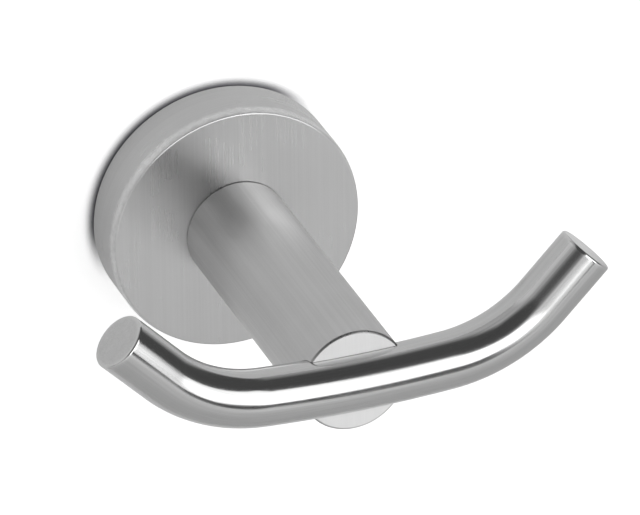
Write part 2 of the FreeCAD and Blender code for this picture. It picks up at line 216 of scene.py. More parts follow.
# Painted shadow: near the rose's upper-left rim the lens sees the board turn dark and lose its glow.
shadow_occlusion = tree.nodes.new("ShaderNodeAmbientOcclusion")
shadow_occlusion.samples = shadow_line_rays
shadow_occlusion.inputs["Distance"].default_value = shadow_line_reach
shadow_at_rim = add_range(tree, shadow_occlusion.outputs["AO"], open_half, 1.0, 1.0, 0.0)
for_lens = tree.nodes.new("ShaderNodeLightPath").outputs["Is Camera Ray"]
place = add_place(tree)
outward = add_vector(tree, "NORMALIZE", place)["Vector"]
same_side = add_vector(tree, "DOT_PRODUCT", outward, shadow_line_side)["Value"]
shadowed_side = add_range(tree, same_side, shadow_line_fades, shadow_line_full, 0.0, 1.0)
painted_shadow_line = add_math(tree, "MULTIPLY", shadow_at_rim, add_math(tree, "MULTIPLY", shadowed_side, for_lens))
clear_of_shadow = add_math(tree, "SUBTRACT", 1.0, painted_shadow_line)
glow = add_math(tree, "MULTIPLY", seen_glow(tree, lens_glow, reflected_glow), clear_of_shadow)
plug(tree, shader.inputs["Base Color"], add_blend(tree, clear_of_shadow, board_painted_shadow, board_white))
plug(tree, shader.inputs["Roughness"], board_roughness)
plug(tree, shader.inputs["Emission Color"], board_white)
plug(tree, shader.inputs["Emission Strength"], glow)
in_opening = add_math(tree, "LESS_THAN", add_vector(tree, "LENGTH", place)["Value"], board_opening)
behind = tree.nodes.new("ShaderNodeNewGeometry").outputs["Backfacing"]
clear_where(tree, shader, output, add_math(tree, "MAXIMUM", in_opening, behind))
board.data.materials.append(board_paint)

floor = add_panel("floor", floor_size, floor_size, (0, 0, board_bottom))
floor_finish, tree = new_material("floor_paint")
shader, output = add_principled(tree)
plug(tree, shader.inputs["Base Color"], floor_paint)
plug(tree, shader.inputs["Roughness"], floor_roughness)
plug(tree, shader.inputs["Emission Color"], floor_paint)
# Painted light: the floor glows less near the wall and more away from it.
painted_floor_light = add_range(tree, split(tree, add_place(tree))["Y"], far_floor, near_floor, glow_far, glow_near)
plug(tree, shader.inputs["Emission Strength"], seen_glow(tree, painted_floor_light, painted_floor_light))
clear_where(tree, shader, output, tree.nodes.new("ShaderNodeNewGeometry").outputs["Backfacing"])
floor.data.materials.append(floor_finish)


# Light: one large soft box in front, a little to the right and above, in a light room with dim parts
# overhead and to the right, and a brighter part in front and one to the left. A small black card in
# front of the soft box draws the thin dark line along the bar.
softbox_azimuth = radians(23.5)
softbox_elevation = radians(12.2)
softbox_turn = radians(31)
softbox_distance = 1.4
softbox_width = 1.62
softbox_height = 1.23
softbox_radiance = 1.75
card_azimuth = radians(18.3)
card_elevation = radians(-10)
card_turn = radians(25)
card_distance = 0.62
card_width = 0.102
card_height = 0.168
card_black = (0.02, 0.02, 0.02, 1)
room_level = 0.68
dim_level = 0.113
front_level = 1.1
left_level = 1.05
# Each part: its azimuth and elevation, how wide its core and its faded edge reach, and its level.
dim_parts = (
    (radians(78), radians(34), radians(30), radians(46), dim_level),
    (radians(42), radians(62), radians(22), radians(40), dim_level),
    (radians(8), radians(60), radians(20), radians(36), dim_level),
    (radians(-30), radians(43), radians(18), radians(34), dim_level),
)
bright_parts = (
    (radians(-12), radians(4), radians(10), radians(22), front_level),
    (radians(-105), radians(28), radians(14), radians(34), left_level),
)


def direction(azimuth, elevation):
    """The unit vector at an azimuth, from -Y towards +X, and an elevation."""
    return Vector((sin(azimuth) * cos(elevation), -cos(azimuth) * cos(elevation), sin(elevation)))


def facing(azimuth, elevation, turn):
    """The turn of a lamp or card that stands at that azimuth and elevation and faces the hook."""
    aim = direction(azimuth, elevation).to_track_quat("Z", "Y").to_matrix().to_4x4()
    return (aim @ Matrix.Rotation(turn, 4, "Z")).to_euler()


softbox_place = softbox_distance * direction(softbox_azimuth, softbox_elevation)
bpy.ops.object.light_add(type="AREA", location=softbox_place)
softbox = bpy.context.object
softbox.name = "softbox"
softbox.rotation_euler = facing(softbox_azimuth, softbox_elevation, softbox_turn)
softbox.data.shape = "RECTANGLE"
softbox.data.size = softbox_width
softbox.data.size_y = softbox_height
softbox.data.energy = softbox_radiance * pi * softbox_width * softbox_height

card_place = card_distance * direction(card_azimuth, card_elevation)
card = add_panel("black_card", card_width, card_height, card_place,
                 facing(card_azimuth, card_elevation, card_turn))
card_finish, tree = new_material("card_black")
shader, output = add_principled(tree)
plug(tree, shader.inputs["Base Color"], card_black)
card.data.materials.append(card_finish)
card.visible_camera = False

world = bpy.data.worlds.new("studio")
scene.world = world
world.use_nodes = True
tree = world.node_tree
tree.nodes.clear()
view = tree.nodes.new("ShaderNodeTexCoord").outputs["Generated"]


def add_patch(patch, around):
    """A round part of the room: its own level inside, which fades into the level around it."""
    azimuth, elevation, core, edge, inside = patch
    towards = add_vector(tree, "DOT_PRODUCT", view, direction(azimuth, elevation))["Value"]
    return add_range(tree, towards, cos(edge), cos(core), around, inside)


light = room_level
for patch in dim_parts:
    light = add_math(tree, "MINIMUM", light, add_patch(patch, room_level))
for patch in bright_parts:
    light = add_math(tree, "MAXIMUM", light, add_patch(patch, 0.0))
background = tree.nodes.new("ShaderNodeBackground")
plug(tree, background.inputs["Strength"], light)
world_output = tree.nodes.new("ShaderNodeOutputWorld")
tree.links.new(background.outputs[0], world_output.inputs["Surface"])


# Hook bar: a 12 mm round stainless bar, cut to length, its end edges rounded on the belt, bent
# cold round a former at each side and brushed along its length. The bolt pulls it into the post's
# saddle by the threaded blind hole in its back.
bar_radius = 0.006
bar_axis_depth = 0.08025
middle_radius = 0.3
middle_half_span = 0.02
bend_radius = 0.032
arm_rise = radians(46)
arm_length = 0.0135
bar_end_round = 0.0005
bar_sides = 96
middle_steps, bend_steps, arm_steps = 24, 40, 20
end_round_steps = 5
thread_hole_radius = 0.00253
thread_hole_start = 0.07
thread_hole_end = 0.08075
drill_point = 0.0014
hole_sides = 48
crisp_above = radians(30)
same_place = 1e-6
face_on = 0.9
# Each noise: its scale, detail and roughness.
hairline_noise = (1.0, 3.0, 0.65)
band_noise = (0.22, 2.0, 0.5)
scratch_noise = (0.55, 0.0, 0.5)
cloud_noise = (70.0, 3.0, 0.55)
chip_noise = (900.0, 2.0, 0.6)
scratch_starts, scratch_full = 0.66, 0.76
band_height = 0.5
hairline_tone, band_tone = 0.7, 0.3
tone_low, tone_high = 0.32, 0.68
cloud_low, cloud_high = 0.3, 0.7
least_reach = 0.5
grain_gloss = (1.1, 0.9)
cloud_gloss = (0.93, 1.07)
worn_gloss = 0.75
bar_strokes = (40, 3600, 3600)
bar_dark = (0.51, 0.51, 0.51, 1)
bar_light = (0.585, 0.585, 0.585, 1)
bar_worn = (0.64, 0.64, 0.64, 1)
bar_roughness = 0.14
bar_relief = 0.8e-6
bar_edge_reach = 0.0012


def pick(piece):
    """Makes the piece the only one selected."""
    bpy.ops.object.select_all(action="DESELECT")
    bpy.context.view_layer.objects.active = piece
    piece.select_set(True)


def edit(piece, kind="FACE", test=None):
    """Opens the mesh with the faces, edges or points that pass the test selected, or else all."""
    if bpy.context.mode == "OBJECT":
        pick(piece)
        bpy.ops.object.mode_set(mode="EDIT")
    bpy.ops.mesh.select_mode(type=kind)
    bpy.ops.mesh.select_all(action="DESELECT" if test else "SELECT")
    if not test:
        return
    bpy.ops.object.mode_set(mode="OBJECT")
    points = piece.data.vertices
    if kind == "FACE":
        for face in piece.data.polygons:
            face.select = test(face.center, face.normal)
    elif kind == "EDGE":
        for line in piece.data.edges:
            line.select = all(test(points[end].co) for end in line.vertices)
    else:
        for point in points:
            point.select = test(point.co)
    bpy.ops.object.mode_set(mode="EDIT")


def close_up():
    """Merges the points that meet, turns all faces outwards and closes the mesh for editing."""
    bpy.ops.mesh.select_all(action="SELECT")
    bpy.ops.mesh.remove_doubles(threshold=same_place)
    bpy.ops.mesh.normals_make_consistent(inside=False)
    bpy.ops.object.mode_set(mode="OBJECT")


def finish_modifier(piece, kind, **settings):
    """Adds a modifier with its settings and applies it."""
    pick(piece)
    bpy.ops.object.modifier_add(type=kind)
    modifier = piece.modifiers[-1]
    for name, value in settings.items():
        setattr(modifier, name, value)
    bpy.ops.object.modifier_apply(modifier=modifier.name)


def add_rod(name, sides, radius, near_depth, far_depth, height=0.0):
    """A plain rod along the hook's axis between two depths, to be shaped or to cut with."""
    bpy.ops.object.select_all(action="DESELECT")
    bpy.ops.mesh.primitive_cylinder_add(vertices=sides, radius=radius, depth=far_depth - near_depth,
                                        location=(0, -(near_depth + far_depth) / 2, height),
                                        rotation=(pi / 2, 0, 0))
    return place_in_mesh(name)


def far_face(middle, normal):
    """True for a face that looks straight out from the wall."""
    return normal.y < -face_on


def push(offset):
    """Extrudes the selected faces by a vector."""
    bpy.ops.mesh.extrude_region_move(TRANSFORM_OT_translate={"value": offset})


def combine(piece, other, operation):
    """Cuts another solid out of the piece, unites the two or keeps what they share."""
    finish_modifier(piece, "BOOLEAN", operation=operation, solver="EXACT", object=other)
    bpy.data.objects.remove(other)


def cut_out(piece, cutter):
    """Takes the cutter's shape out of the piece, and then the cutter away."""
    combine(piece, cutter, "DIFFERENCE")


def sharpen(rod, length):
    """Draws the rod's far end out to a point."""
    edit(rod, "FACE", far_face)
    push((0, -length, 0))
    bpy.ops.mesh.merge(type="CENTER")
    bpy.ops.object.mode_set(mode="OBJECT")


def finish_shading(piece):
    """Smooth shading with crisp edges, in which the large faces keep their own direction."""
    pick(piece)
    bpy.ops.object.shade_smooth_by_angle(angle=crisp_above)
    finish_modifier(piece, "WEIGHTED_NORMAL", keep_sharp=True)


def hang(piece, node, material):
    """The piece in its material, riding on the hook in place of its node."""
    piece.data.materials.clear()
    piece.data.materials.append(material)
    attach(piece, "root")
    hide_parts(node)


def new_group(name, takes, gives):
    """An empty shared effect with its inputs and outputs, each a name and a kind of socket."""
    group = bpy.data.node_groups.new(name, "ShaderNodeTree")
    for socket, kind in takes:
        group.interface.new_socket(name=socket, in_out="INPUT", socket_type="NodeSocket" + kind)
    for socket, kind in gives:
        group.interface.new_socket(name=socket, in_out="OUTPUT", socket_type="NodeSocket" + kind)
    entry = group.nodes.new("NodeGroupInput")
    way_out = group.nodes.new("NodeGroupOutput")
    return group, entry.outputs, way_out.inputs


def use_group(tree, group, **values):
    """A shared effect in a material, with its inputs filled by name."""
    node = tree.nodes.new("ShaderNodeGroup")
    node.node_tree = group
    for name, value in values.items():
        plug(tree, node.inputs[name], value)
    return node.outputs


def add_noise(tree, place, scale, detail, roughness):
    """A soft pattern between 0 and 1, most of it near the middle."""
    node = tree.nodes.new("ShaderNodeTexNoise")
    plug(tree, node.inputs["Vector"], place)
    plug(tree, node.inputs["Scale"], scale)
    plug(tree, node.inputs["Detail"], detail)
    plug(tree, node.inputs["Roughness"], roughness)
    return node.outputs["Fac"]


def make_brush_grain():
    """Belt strokes: fine hairlines, wider bands of them, and a few single deeper scratches."""
    group, takes, gives = new_group("brush_grain", (("Place", "Vector"), ("Strokes", "Vector")),
                                    (("Height", "Float"), ("Tone", "Float")))
    across = add_vector(group, "MULTIPLY", takes["Place"], takes["Strokes"])["Vector"]
    hairlines = add_noise(group, across, *hairline_noise)
    bands = add_noise(group, across, *band_noise)
    scratches = add_noise(group, across, *scratch_noise)
    deep = add_range(group, scratches, scratch_starts, scratch_full, 0.0, 1.0)
    relief = add_math(group, "ADD", add_math(group, "MULTIPLY", bands, band_height), hairlines)
    plug(group, gives["Height"], add_math(group, "SUBTRACT", relief, deep))
    hairline_part = add_math(group, "MULTIPLY", hairlines, hairline_tone)
    band_part = add_math(group, "MULTIPLY", bands, band_tone)
    mixed = add_math(group, "ADD", hairline_part, band_part)
    plug(group, gives["Tone"], add_range(group, mixed, tone_low, tone_high, 0.0, 1.0))
    return group


def make_handling():
    """Faint cloudy patches, as polishing and hands leave them."""
    group, takes, gives = new_group("handling", (("Place", "Vector"),), (("Cloud", "Float"),))
    clouds = add_noise(group, takes["Place"], *cloud_noise)
    plug(group, gives["Cloud"], add_range(group, clouds, cloud_low, cloud_high, 0.0, 1.0))
    return group


def make_edge_wear_and_light():
    """A broken line along an edge, strongest on the edge itself, for edge wear and painted edge light.
    """
    given = (("Place", "Vector"), ("Distance", "Float"), ("Reach", "Float"))
    group, takes, gives = new_group("edge_wear_and_light", given, (("Mask", "Float"),))
    uneven = add_math(group, "ADD", add_noise(group, takes["Place"], *chip_noise), least_reach)
    reach = add_math(group, "MULTIPLY", takes["Reach"], uneven)
    near = add_math(group, "SUBTRACT", 1.0, add_math(group, "DIVIDE", takes["Distance"], reach))
    plug(group, gives["Mask"], add_range(group, near, 0.0, 1.0, 0.0, 1.0))
    return group


brush_grain = make_brush_grain()
handling = make_handling()
edge_wear_and_light = make_edge_wear_and_light()


def brushed_finish(tree, place, strokes, edge_distance, edge_reach,
                   dark, light, wear_and_light_colour, roughness, relief):
    """A Principled steel: grain in colour, gloss and relief, clouds in its gloss, a colour at its
    edges.
    """
    shader, output = add_principled(tree)
    grain = use_group(tree, brush_grain, Place=place, Strokes=strokes)
    cloud = use_group(tree, handling, Place=place)["Cloud"]
    wear_and_light_mask = use_group(tree, edge_wear_and_light, Place=place, Distance=edge_distance, Reach=edge_reach)["Mask"]
    plug(tree, shader.inputs["Metallic"], 1.0)
    steel = add_blend(tree, grain["Tone"], dark, light)
    plug(tree, shader.inputs["Base Color"], add_blend(tree, wear_and_light_mask, steel, wear_and_light_colour))
    gloss = add_range(tree, grain["Tone"], 0.0, 1.0, *grain_gloss)
    gloss = add_math(tree, "MULTIPLY", gloss, add_range(tree, cloud, 0.0, 1.0, *cloud_gloss))
    gloss = add_math(tree, "MULTIPLY", gloss, add_range(tree, wear_and_light_mask, 0.0, 1.0, 1.0, worn_gloss))
    plug(tree, shader.inputs["Roughness"], add_math(tree, "MULTIPLY", gloss, roughness))
    bump = tree.nodes.new("ShaderNodeBump")
    plug(tree, bump.inputs["Distance"], relief)
    plug(tree, bump.inputs["Height"], grain["Height"])
    plug(tree, shader.inputs["Normal"], bump.outputs["Normal"])
    return shader


middle_sweep = asin(middle_half_span / middle_radius)
middle_centre = Vector((0, -bar_axis_depth, middle_radius))
bend_start = middle_centre + middle_radius * Vector((sin(middle_sweep), 0, -cos(middle_sweep)))
bend_centre = bend_start + bend_radius * Vector((-sin(middle_sweep), 0, cos(middle_sweep)))
arm_start = bend_centre + bend_radius * Vector((sin(arm_rise), 0, -cos(arm_rise)))
arm_direction = Vector((cos(arm_rise), 0, sin(arm_rise)))
bend_length = bend_radius * (arm_rise - middle_sweep)
bar_half_length = middle_radius * middle_sweep + bend_length + arm_length


def unbent(point):
    """Where a point of the bar lay before bending: along the bar, out from it and up from it."""
    down = Vector((0, -1))
    side = 1 if point.x >= 0 else -1
    across = Vector((abs(point.x), 0, point.z))
    from_middle = across - Vector((0, 0, middle_radius))
    from_bend = across - Vector((bend_centre.x, 0, bend_centre.z))
    from_arm = across - Vector((arm_start.x, 0, arm_start.z))
    along_arm = from_arm.dot(arm_direction)
    swept = down.angle(Vector((from_middle.x, from_middle.z)))
    if swept <= middle_sweep:
        along = middle_radius * swept
        up = middle_radius - from_middle.length
    elif along_arm >= 0:
        along = bar_half_length - arm_length + along_arm
        up = (from_arm - along_arm * arm_direction).dot(Vector((-arm_direction.z, 0, arm_direction.x)))
    else:
        bent = down.angle(Vector((from_bend.x, from_bend.z))) - middle_sweep
        along = middle_radius * middle_sweep + bend_radius * bent
        up = bend_radius - from_bend.length
    return side * along, point.y + bar_axis_depth, up


bpy.ops.object.select_all(action="DESELECT")
bpy.ops.mesh.primitive_circle_add(vertices=bar_sides, radius=bar_radius,
                                  location=(0, -bar_axis_depth, 0), rotation=(0, pi / 2, 0))
bar = place_in_mesh("bent_bar")
edit(bar, "EDGE")
bpy.ops.mesh.spin(steps=middle_steps, angle=middle_sweep, center=middle_centre, axis=(0, 1, 0))
bpy.ops.mesh.spin(steps=bend_steps, angle=arm_rise - middle_sweep, center=bend_centre, axis=(0, 1, 0))
arm_step = arm_direction * arm_length / arm_steps
for step in range(arm_steps):
    bpy.ops.mesh.extrude_edges_move(TRANSFORM_OT_translate={"value": arm_step})
bpy.ops.mesh.edge_face_add()
bpy.ops.mesh.bevel(offset=bar_end_round, segments=end_round_steps, affect="EDGES")
bpy.ops.object.mode_set(mode="OBJECT")
finish_modifier(bar, "MIRROR", merge_threshold=same_place)
edit(bar)
close_up()
cutter = add_rod("thread_hole", hole_sides, thread_hole_radius, thread_hole_start, thread_hole_end)
sharpen(cutter, drill_point)
cut_out(bar, cutter)
finish_shading(bar)
straight = bar.data.attributes.new("unbent", "FLOAT_VECTOR", "POINT")
for point, place in zip(bar.data.vertices, straight.data):
    place.vector = unbent(point.co)

bar_steel, tree = new_material("bar_steel")
lay = tree.nodes.new("ShaderNodeAttribute")
lay.attribute_name = "unbent"
along, out, up = split(tree, lay.outputs["Vector"])
to_end = add_math(tree, "SUBTRACT", bar_half_length, add_math(tree, "ABSOLUTE", along))
from_axis = add_hypot(tree, out, up)
to_rim = add_math(tree, "ADD", to_end, add_math(tree, "SUBTRACT", bar_radius, from_axis))
brushed_finish(tree, lay.outputs["Vector"], bar_strokes, to_rim, bar_edge_reach,
               bar_dark, bar_light, bar_worn, bar_roughness, bar_relief)
hang(bar, "hook_bar", bar_steel)


# Post: a round stainless bar, brushed along its length and bored through for the bolt, with a hole
# for the pin in its foot and a saddle for the hook bar milled across its free end. The edges of both
# ends are broken and darkened by a painted shade, and the free end is faced bright.
rose_depth = 0.0125
post_radius = 0.01125
post_end_depth = 0.08
post_edge_break = 0.00035
post_foot_break = 0.0003
post_sides = 128
saddle_radius = 0.00605
saddle_half_span = 0.014
bolt_bore_radius = 0.00275
pin_height = 0.007
pin_hole_radius = 0.00153
pin_hole_end = 0.01653
pin_sides = 32
saw_overrun = 0.001
deburr = 0.00012
deburr_steps = 2
deburr_above = radians(35)
post_strokes = (2600, 18, 2600)
end_strokes = (2600, 2600, 60)
post_dark = (0.53, 0.53, 0.53, 1)
post_light = (0.56, 0.56, 0.56, 1)
# Painted shade: the dark line along the edges of both ends of the post.
post_rim_shade = (0.4, 0.4, 0.4, 1)
post_rim_shade_width = 0.00022
post_roughness = 0.36
post_relief = 1.0e-6
post_rim_shade_reach = 0.0007
end_dark = (0.815, 0.815, 0.815, 1)
end_light = (0.84, 0.84, 0.84, 1)
end_roughness = 0.52
faced_from = 0.0797

post = add_rod("round_post", post_sides, post_radius, rose_depth, post_end_depth)
edit(post, "EDGE", lambda end: end.y < -post_end_depth + same_place)
bpy.ops.mesh.bevel(offset=post_edge_break, segments=1, affect="EDGES")
edit(post, "EDGE", lambda end: end.y > -rose_depth - same_place)
bpy.ops.mesh.bevel(offset=post_foot_break, segments=1, affect="EDGES")
bpy.ops.object.mode_set(mode="OBJECT")
half_saddle = asin(saddle_half_span / middle_radius)
bpy.ops.object.select_all(action="DESELECT")
bpy.ops.mesh.primitive_circle_add(vertices=bar_sides, radius=saddle_radius, fill_type="NGON",
                                  location=(0, -bar_axis_depth, 0), rotation=(0, pi / 2, 0))
cutter = place_in_mesh("saddle_mill")
edit(cutter)
bpy.ops.transform.rotate(value=-half_saddle, orient_axis="Y", center_override=middle_centre)
bpy.ops.mesh.spin(steps=2 * middle_steps, angle=2 * half_saddle, center=middle_centre, axis=(0, 1, 0))
close_up()
cut_out(post, cutter)
bore_start = rose_depth - saw_overrun
cut_out(post, add_rod("bolt_bore", hole_sides, bolt_bore_radius, bore_start, bar_axis_depth))
cut_out(post, add_rod("pin_bore", pin_sides, pin_hole_radius, bore_start, pin_hole_end, pin_height))
finish_modifier(post, "BEVEL", width=deburr, segments=deburr_steps, limit_method="ANGLE",
                angle_limit=deburr_above)
finish_shading(post)


def add_turned_place(tree):
    """The place on the piece, its X, Y and Z, and its distance from the hook's axis."""
    place = add_place(tree)
    x, y, z = split(tree, place)
    return place, x, y, z, add_hypot(tree, x, z)


def cover(tree, shader, share, colour):
    """Puts a colour over the shader's own where the share is 1."""
    own = shader.inputs["Base Color"].links[0].from_socket
    plug(tree, shader.inputs["Base Color"], add_blend(tree, share, own, colour))


def change_gloss(tree, shader, share, roughness):
    """Gives the shader another roughness where the share is 1."""
    own = shader.inputs["Roughness"].links[0].from_socket
    change = add_math(tree, "MULTIPLY", share, add_math(tree, "SUBTRACT", roughness, own))
    plug(tree, shader.inputs["Roughness"], add_math(tree, "ADD", own, change))


post_steel, tree = new_material("post_steel")
place, x, y, z, radius = add_turned_place(tree)
to_side = add_math(tree, "SUBTRACT", post_radius, radius)
to_end = add_math(tree, "ADD", y, post_end_depth)
to_rim = add_math(tree, "ADD", to_side, to_end)
# The edge colour here is a painted shade, which the faced end keeps only at its rim.
shader = brushed_finish(tree, place, post_strokes, to_rim, post_rim_shade_reach,
                        post_dark, post_light, post_rim_shade, post_roughness, post_relief)
inside_rim_shade = add_range(tree, to_side, post_edge_break, post_edge_break + post_rim_shade_width, 0.0, 1.0)
at_end = add_range(tree, y, -faced_from, -faced_from - deburr, 0.0, 1.0)
on_end = add_math(tree, "MULTIPLY", at_end, inside_rim_shade)
milled = use_group(tree, brush_grain, Place=place, Strokes=end_strokes)
cover(tree, shader, on_end, add_blend(tree, milled["Tone"], end_dark, end_light))
change_gloss(tree, shader, on_end, end_roughness)
hang(post, "post", post_steel)


# Rose: a round stainless cup, turned from the solid, its face brushed straight up and down, its side
# brushed round and its inside left dull. A painted highlight lightens its rounded front edge. The bolt
# passes through its middle, the pin stands above the bolt, and the grub screw enters from below.
rose_radius = 0.0275
rose_wall = 0.0022
rose_face = 0.002
# Each arc of the rounded edge: its radius, its first and last direction, and its steps.
rose_rounds = (
    (0.0042, radians(90), radians(65), 9),
    (0.0002, radians(65), radians(28), 5),
    (0.0006, radians(28), radians(0), 5),
)
side_lay_width = 0.001
rim_break = 0.0003
rim_steps = 2
rose_sides = 192
grub_depth = 0.005
grub_hole_radius = 0.00203
grub_hole_length = 0.008
face_strokes = (2600, 2600, 14)
side_strokes = (30, 3000, 30)
rose_dark = (0.605, 0.605, 0.605, 1)
rose_light = (0.63, 0.63, 0.63, 1)
# Painted highlight: the colour of the bright band along the rose's rounded front edge.
rose_edge_highlight = (0.92, 0.92, 0.92, 1)
rose_inside_dark = (0.4, 0.4, 0.398, 1)
rose_inside_light = (0.47, 0.47, 0.468, 1)
rose_inside_roughness = 0.42
face_highlight_narrowing = 6
rose_roughness = 0.31
rose_relief = 0.4e-6
rose_lay = 0.8
face_lay = (1, 0, 0, 1)
side_lay = (0, 1, 0, 1)
rose_highlight_reach = 0.0032

rose = add_rod("wall_rose", rose_sides, rose_radius, 0, rose_depth)
edit(rose, "VERT", lambda point: point.y < -rose_depth + same_place)
round_depth = sum(arc * abs(cos(start) - cos(end)) for arc, start, end, steps in rose_rounds)
bpy.ops.transform.translate(value=(0, round_depth, 0))
radius = rose_radius
for arc, start, end, steps in rose_rounds:
    for step in range(steps):
        before = start + (end - start) * step / steps
        after = start + (end - start) * (step + 1) / steps
        narrower = radius - arc * (sin(before) - sin(after))
        share = narrower / radius
        edit(rose, "FACE", lambda middle, normal: far_face(middle, normal)
             and hypot(middle.x, middle.z) < same_place)
        push((0, -arc * (cos(after) - cos(before)), 0))
        bpy.ops.transform.resize(value=(share, 1, share), center_override=(0, 0, 0))
        radius = narrower
edit(rose, "FACE", lambda middle, normal: normal.y > face_on)
bpy.ops.mesh.inset(thickness=rose_wall)
push((0, rose_face - rose_depth, 0))
edit(rose, "EDGE", lambda end: end.y > -same_place and hypot(end.x, end.z) > rose_radius - rim_break)
bpy.ops.mesh.bevel(offset=rim_break, segments=rim_steps, affect="EDGES")
bpy.ops.object.mode_set(mode="OBJECT")
rose_inside = rose_depth - rose_face
hole_start = rose_inside - saw_overrun
hole_end = rose_depth + saw_overrun
cut_out(rose, add_rod("bolt_clearance", hole_sides, bolt_bore_radius, hole_start, hole_end))
cut_out(rose, add_rod("pin_hole", pin_sides, pin_hole_radius, hole_start, hole_end, pin_height))
bpy.ops.object.select_all(action="DESELECT")
bpy.ops.mesh.primitive_cylinder_add(vertices=hole_sides, radius=grub_hole_radius,
                                    depth=grub_hole_length, location=(0, -grub_depth, -rose_radius))
cut_out(rose, place_in_mesh("grub_hole"))
finish_shading(rose)

rose_steel, tree = new_material("rose_steel")
place, x, y, z, radius = add_turned_place(tree)
to_side = add_math(tree, "SUBTRACT", rose_radius, radius)
to_face = add_math(tree, "ADD", y, rose_depth)
to_edge = add_math(tree, "ADD", add_math(tree, "MULTIPLY", to_side, face_highlight_narrowing), to_face)
side_start = rose_radius - side_lay_width
on_side = add_range(tree, radius, side_start, side_start + side_lay_width / 2, 0.0, 1.0)
strokes = add_blend(tree, on_side, (*face_strokes, 1), (*side_strokes, 1))
# The edge colour here is a painted highlight, wider round the edge than onto the face.
shader = brushed_finish(tree, place, strokes, to_edge, rose_highlight_reach,
                        rose_dark, rose_light, rose_edge_highlight, rose_roughness, rose_relief)
wall_inside = rose_radius - rose_wall
inner = add_range(tree, radius, wall_inside, wall_inside + rim_break, 1.0, 0.0)
behind_face = add_range(tree, y, -rose_inside - rim_break, -rose_inside - same_place, 0.0, 1.0)
inside = add_math(tree, "MULTIPLY", inner, behind_face)
turned = use_group(tree, brush_grain, Place=place, Strokes=side_strokes)
cover(tree, shader, inside, add_blend(tree, turned["Tone"], rose_inside_dark, rose_inside_light))
change_gloss(tree, shader, inside, rose_inside_roughness)
plug(tree, shader.inputs["Anisotropic"], rose_lay)
plug(tree, shader.inputs["Tangent"], add_blend(tree, on_side, face_lay, side_lay))
hang(rose, "rose", rose_steel)


# Locating pin: a short hardened pin, ground to size, that keeps the post from turning on the rose.
# It stands half in the rose's face and half in the post.
pin_strokes = (80, 4200, 80)
pin_dark = (0.56, 0.56, 0.565, 1)
pin_light = (0.64, 0.64, 0.645, 1)
pin_worn = (0.7, 0.7, 0.705, 1)
pin_roughness = 0.24
pin_relief = 0.8e-6
pin_length = 0.006
pin_middle = 0.0135
pin_edge_reach = 0.0005


def dress(node, material):
    """Gives a carried-over piece its finish."""
    for holder in nodes[node].material_slots:
        holder.material = material


pin_steel, tree = new_material("pin_steel")
place, x, y, z, radius = add_turned_place(tree)
from_middle = add_math(tree, "ABSOLUTE", add_math(tree, "ADD", y, pin_middle))
to_end = add_math(tree, "SUBTRACT", pin_length / 2, from_middle)
brushed_finish(tree, place, pin_strokes, to_end, pin_edge_reach,
               pin_dark, pin_light, pin_worn, pin_roughness, pin_relief)
dress("locating_pin", pin_steel)


# Clamp bolt and lock washer: a long socket-head bolt of plain stainless, its head knurled and its
# thread rolled, over a split spring washer. It holds rose, post and hook bar together from behind.
bolt_radius = 0.0025
bolt_core = 0.00203
bolt_pitch = 0.0008
bolt_thread_start = 0.0572
bolt_tip = 0.07925
head_radius = 0.00425
head_back = 0.0043
head_seat = 0.0093
head_sides = 96
head_break = 0.0004
knurl_share = 0.976
bolt_socket_flats = 0.004
bolt_socket_depth = 0.0025
socket_point = 0.0007
hexagon = 6
turn_steps = 24
outline_cuts = 7
flank_reach, crest_reach = 2.5, 1.5
spare_turns = 3
crest_share = 0.995
thread_lap = 0.0002
bolt_strokes = (90, 3400, 90)
bolt_dark = (0.5, 0.5, 0.5, 1)
bolt_light = (0.58, 0.58, 0.58, 1)
bolt_worn = (0.66, 0.66, 0.66, 1)
# The darker colour in the roots of the rolled thread.
thread_root_dark = (0.2, 0.19, 0.175, 1)
bolt_roughness = 0.3
bolt_relief = 1.0e-6
washer_dark = (0.36, 0.355, 0.35, 1)
washer_light = (0.45, 0.445, 0.44, 1)
washer_worn = (0.56, 0.56, 0.555, 1)
washer_radius = 0.0046
washer_strokes = (1500, 1500, 1500)
washer_roughness = 0.4
washer_relief = 1.6e-6
small_edge_reach = 0.0005


def add_thread(name, outer, core, pitch, near_depth, far_depth):
    """A threaded rod along the hook's axis: an outline screwed along, cut square at both ends."""
    bpy.ops.object.select_all(action="DESELECT")
    begin = -far_depth - pitch
    bpy.ops.mesh.primitive_plane_add(size=pitch, location=(core + pitch / 2, begin, 0))
    thread = place_in_mesh(name)
    edit(thread, "VERT", lambda point: point.x > core + same_place)
    bpy.ops.mesh.delete(type="VERT")
    edit(thread, "EDGE")
    bpy.ops.mesh.subdivide(number_cuts=outline_cuts)
    step = pitch / (outline_cuts + 1)
    for reach in (flank_reach, crest_reach):
        edit(thread, "VERT", lambda point: abs(point.y - begin) < reach * step)
        bpy.ops.transform.translate(value=((outer - core) / 2, 0, 0))
    bpy.ops.object.mode_set(mode="OBJECT")
    turns = int((far_depth - near_depth) / pitch) + spare_turns
    finish_modifier(thread, "SCREW", axis="Y", screw_offset=pitch, iterations=turns,
                    steps=turn_steps, render_steps=turn_steps)
    edit(thread)
    bpy.ops.mesh.remove_doubles(threshold=same_place)
    bpy.ops.mesh.bisect(plane_co=(0, -near_depth, 0), plane_no=(0, 1, 0), use_fill=True,
                        clear_outer=True, threshold=same_place)
    bpy.ops.mesh.select_all(action="SELECT")
    bpy.ops.mesh.bisect(plane_co=(0, -far_depth, 0), plane_no=(0, -1, 0), use_fill=True,
                        clear_outer=True, threshold=same_place)
    close_up()
    return thread


def cut_socket(piece, flats, near_depth, far_depth):
    """A hexagon socket with the shallow cone that the drill left at its bottom."""
    cutter = add_rod("socket", hexagon, flats / sqrt(3), near_depth, far_depth)
    sharpen(cutter, socket_point)
    cut_out(piece, cutter)


